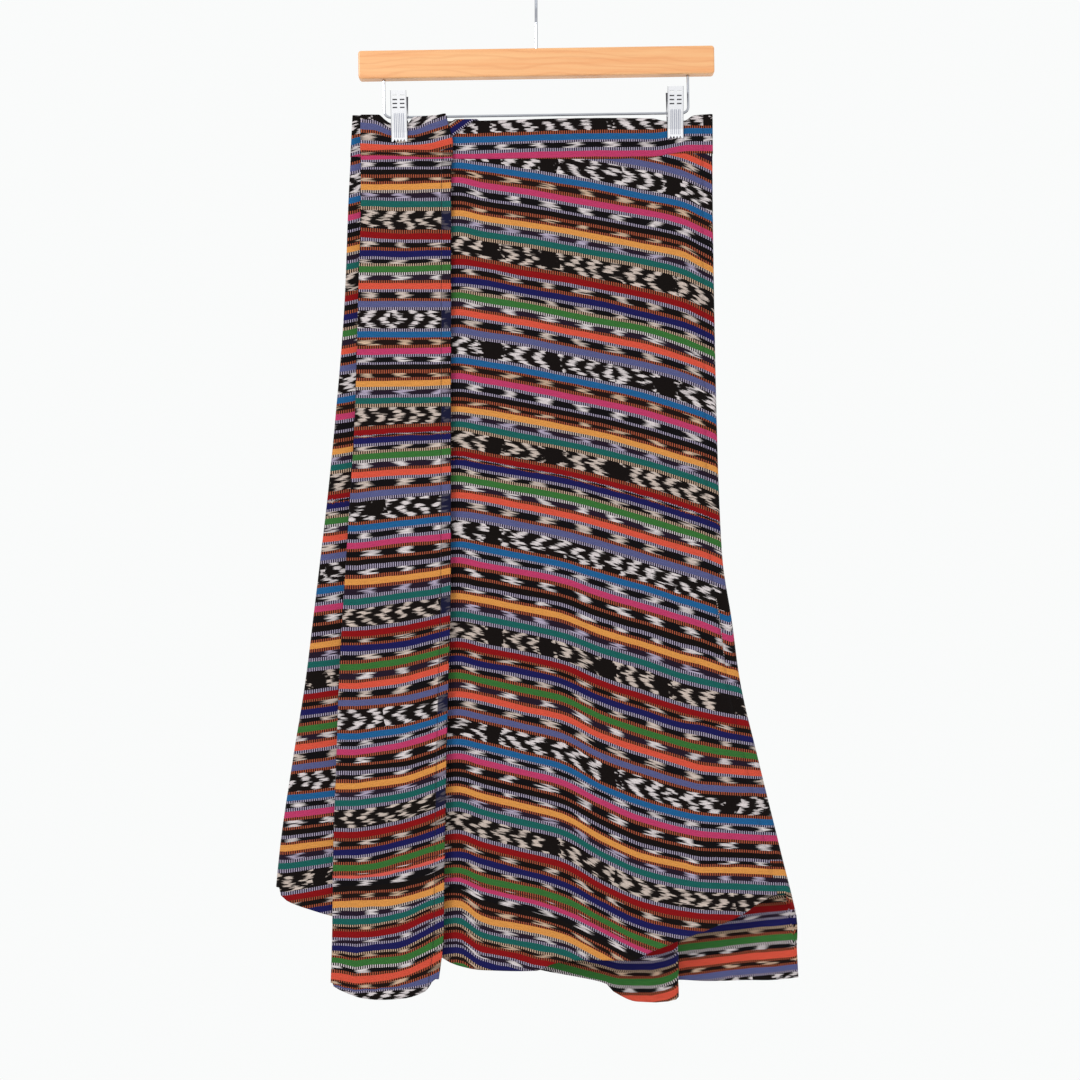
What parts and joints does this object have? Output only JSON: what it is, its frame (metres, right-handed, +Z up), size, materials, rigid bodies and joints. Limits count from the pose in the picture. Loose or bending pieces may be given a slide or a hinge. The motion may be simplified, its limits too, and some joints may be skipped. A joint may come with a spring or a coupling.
{
  "type": "striped wrap skirt on clip hanger",
  "caption": "Flared midi wrap skirt in striped, ikat-patched cotton, hanging flat by its waistband from a wooden bar hanger with steel clips.",
  "frame": {"origin": "inside top of the hanger's hook, where it rests on a rail", "axes": "+Z up, the skirt's front faces -Y, +X is to the right as the front is seen"},
  "size_m": [0.5165, 0.0478, 1.034],
  "materials": {
    "cotton": "hand-woven cotton, matte, striped with ikat patches",
    "beech": "clear satin lacquer on beech",
    "steel": "polished chrome plate"
  },
  "bodies": {
    "root": {"front_panel": "cotton", "back_panel": "cotton", "overlap_panel": "cotton", "waistband_front": "cotton", "waistband_back": "cotton", "waistband_overlap": "cotton", "tie": "cotton", "hanger_bar": "beech", "hanger_hook": "steel", "clip_wire": "steel", "clip_left_front_jaw": "steel", "clip_left_back_jaw": "steel", "clip_left_spring": "steel", "clip_right_front_jaw": "steel", "clip_right_back_jaw": "steel", "clip_right_spring": "steel"}
  },
  "joints": []
}
